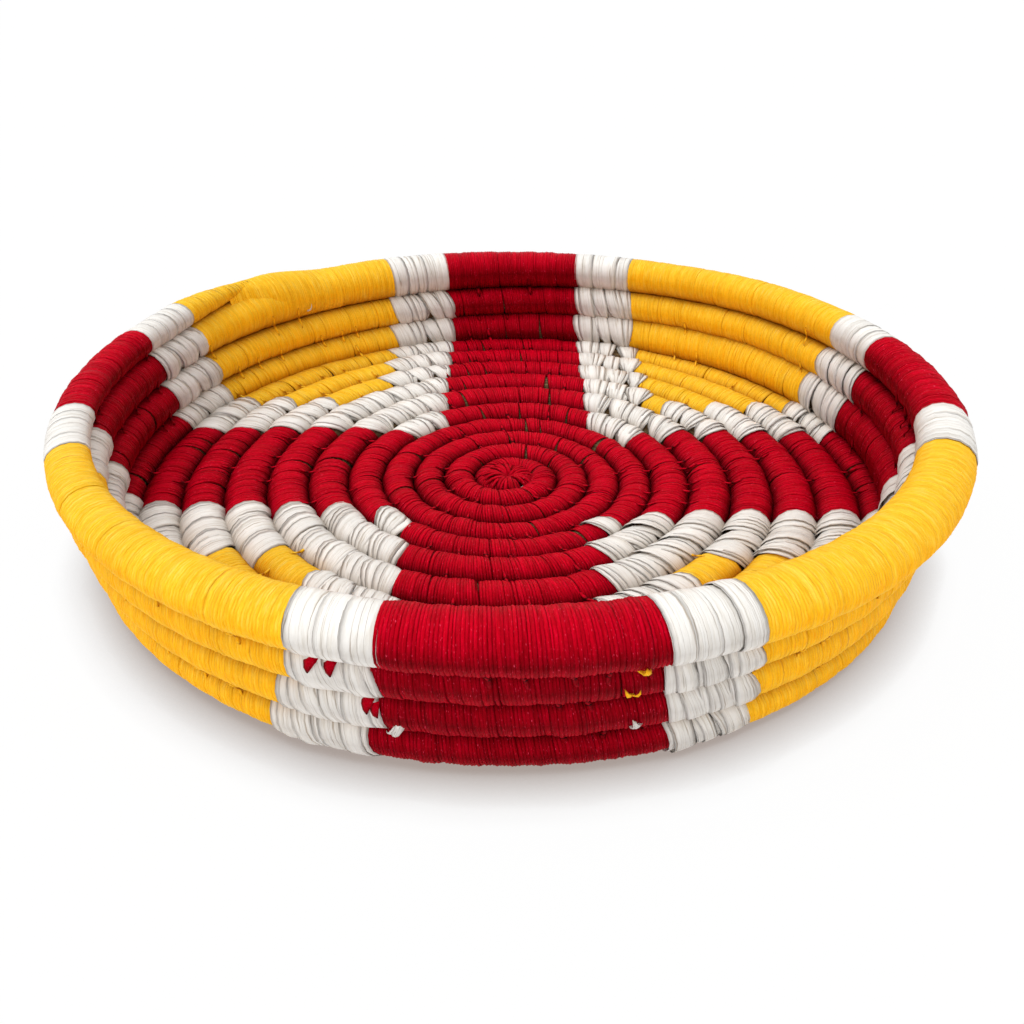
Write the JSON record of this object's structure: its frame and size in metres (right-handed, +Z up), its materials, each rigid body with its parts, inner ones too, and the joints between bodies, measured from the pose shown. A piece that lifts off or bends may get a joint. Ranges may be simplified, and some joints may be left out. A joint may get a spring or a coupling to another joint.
{
  "type": "coiled basket",
  "caption": "Shallow round coiled basket with a low leaning wall, a thick rim row and a red cross with white borders on yellow.",
  "frame": {"origin": "centre of the basket's outline, on the surface that it stands on", "axes": "+Z up out of the basket's mouth, +X to the right arm of the cross, +Y to the back arm"},
  "size_m": [0.2973, 0.3001, 0.0531],
  "materials": {
    "red_fibre": "matt dyed fibre with a low sheen",
    "white_fibre": "smooth pale fibre strip, satin",
    "yellow_fibre": "matt dyed fibre with a low sheen",
    "grass_bundle": "dry grass stems"
  },
  "bodies": {
    "root": {"base_red_back": "red_fibre", "base_red_centre": "red_fibre", "base_red_front": "red_fibre", "base_red_left": "red_fibre", "base_red_right": "red_fibre", "base_white_back_left": "white_fibre", "base_white_back_right": "white_fibre", "base_white_front_left": "white_fibre", "base_white_front_right": "white_fibre", "base_yellow_back_left": "yellow_fibre", "base_yellow_back_right": "yellow_fibre", "base_yellow_front_left": "yellow_fibre", "base_yellow_front_right": "yellow_fibre", "coil_end_binding": "yellow_fibre", "foundation_coil": "grass_bundle", "rim_red_back": "red_fibre", "rim_red_front": "red_fibre", "rim_red_left": "red_fibre", "rim_red_right": "red_fibre", "rim_white_back_left": "white_fibre", "rim_white_back_right": "white_fibre", "rim_white_front_left": "white_fibre", "rim_white_front_right": "white_fibre", "rim_white_left_back": "white_fibre", "rim_white_left_front": "white_fibre", "rim_white_right_back": "white_fibre", "rim_white_right_front": "white_fibre", "rim_yellow_back_left": "yellow_fibre", "rim_yellow_back_right": "yellow_fibre", "rim_yellow_front_left": "yellow_fibre", "rim_yellow_front_right": "yellow_fibre", "starting_knot": "red_fibre", "wall_red_back": "red_fibre", "wall_red_front": "red_fibre", "wall_red_left": "red_fibre", "wall_red_right": "red_fibre", "wall_white_back_left": "white_fibre", "wall_white_back_right": "white_fibre", "wall_white_front_left": "white_fibre", "wall_white_front_right": "white_fibre", "wall_white_left_back": "white_fibre", "wall_white_left_front": "white_fibre", "wall_white_right_back": "white_fibre", "wall_white_right_front": "white_fibre", "wall_yellow_back_left": "yellow_fibre", "wall_yellow_back_right": "yellow_fibre", "wall_yellow_front_left": "yellow_fibre", "wall_yellow_front_right": "yellow_fibre"}
  },
  "joints": []
}
